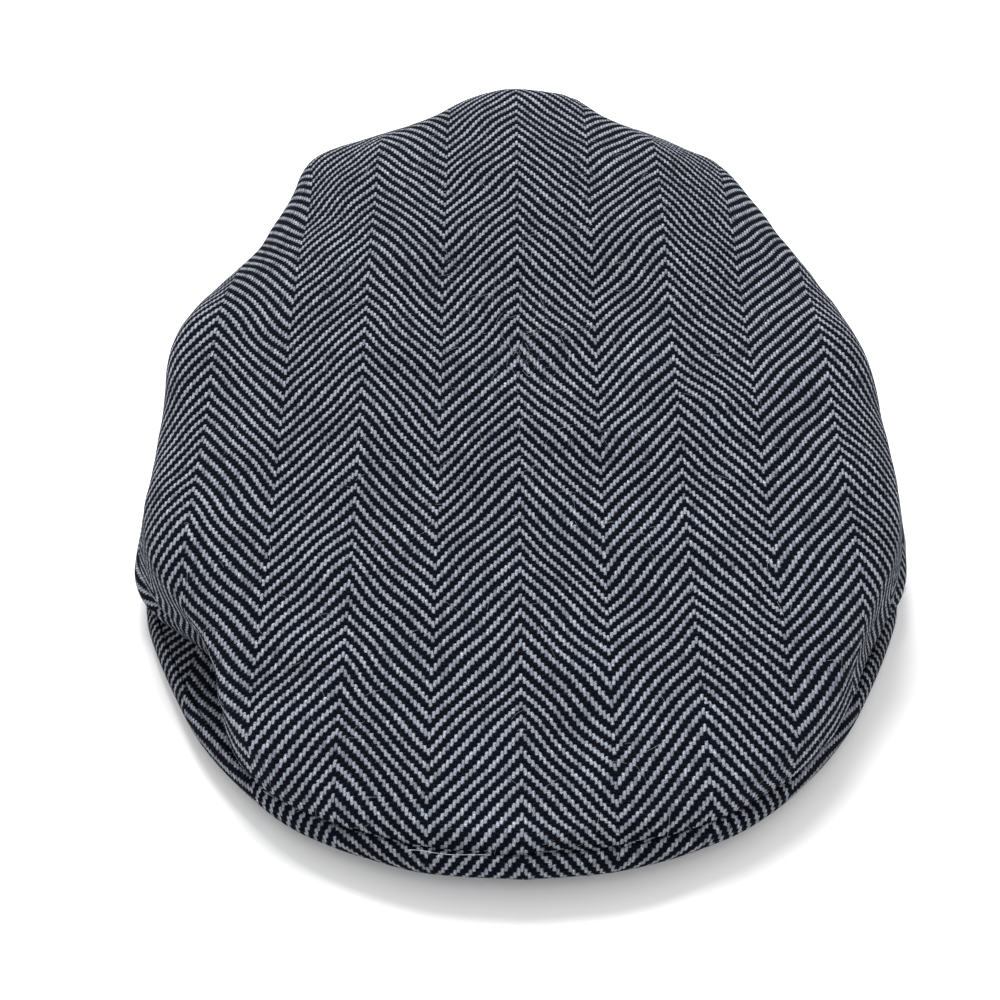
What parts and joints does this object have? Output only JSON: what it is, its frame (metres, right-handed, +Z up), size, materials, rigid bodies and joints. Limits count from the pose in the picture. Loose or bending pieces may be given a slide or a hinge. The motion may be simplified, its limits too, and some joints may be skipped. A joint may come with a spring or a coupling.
{
  "type": "flat cap",
  "caption": "Soft flat cap in herringbone tweed with a stiff front visor under the crown's front edge, satin lining and an inner sweatband.",
  "frame": {"origin": "on the floor under the middle of the cap's bounding box, the hem resting at z = 0", "axes": "+Z up out of the crown, +Y to the back of the cap, so the visor points to -Y, and +X to the wearer's left"},
  "size_m": [0.2068, 0.2511, 0.098],
  "materials": {
    "tweed": "black and grey herringbone wool tweed",
    "tweed_under": "the same tweed on the visor",
    "lining": "burgundy satin",
    "sweatband": "black twill ribbon",
    "ribbon": "black satin ribbon",
    "label": "blank woven label",
    "board": "moulded sheet",
    "binding": "black cotton tape"
  },
  "bodies": {
    "root": {"top_panel": "tweed", "side_panel_left": "tweed", "side_panel_right": "tweed", "visor_upper_cover": "tweed_under", "visor_under_cover": "tweed_under", "visor_board": "board", "visor_binding": "binding", "lining_top": "lining", "lining_side_left": "lining", "lining_side_right": "lining", "sweatband_front": "sweatband", "sweatband_back": "sweatband", "sweatband_bow": "ribbon", "maker_label": "label", "size_tab": "label"}
  },
  "joints": []
}
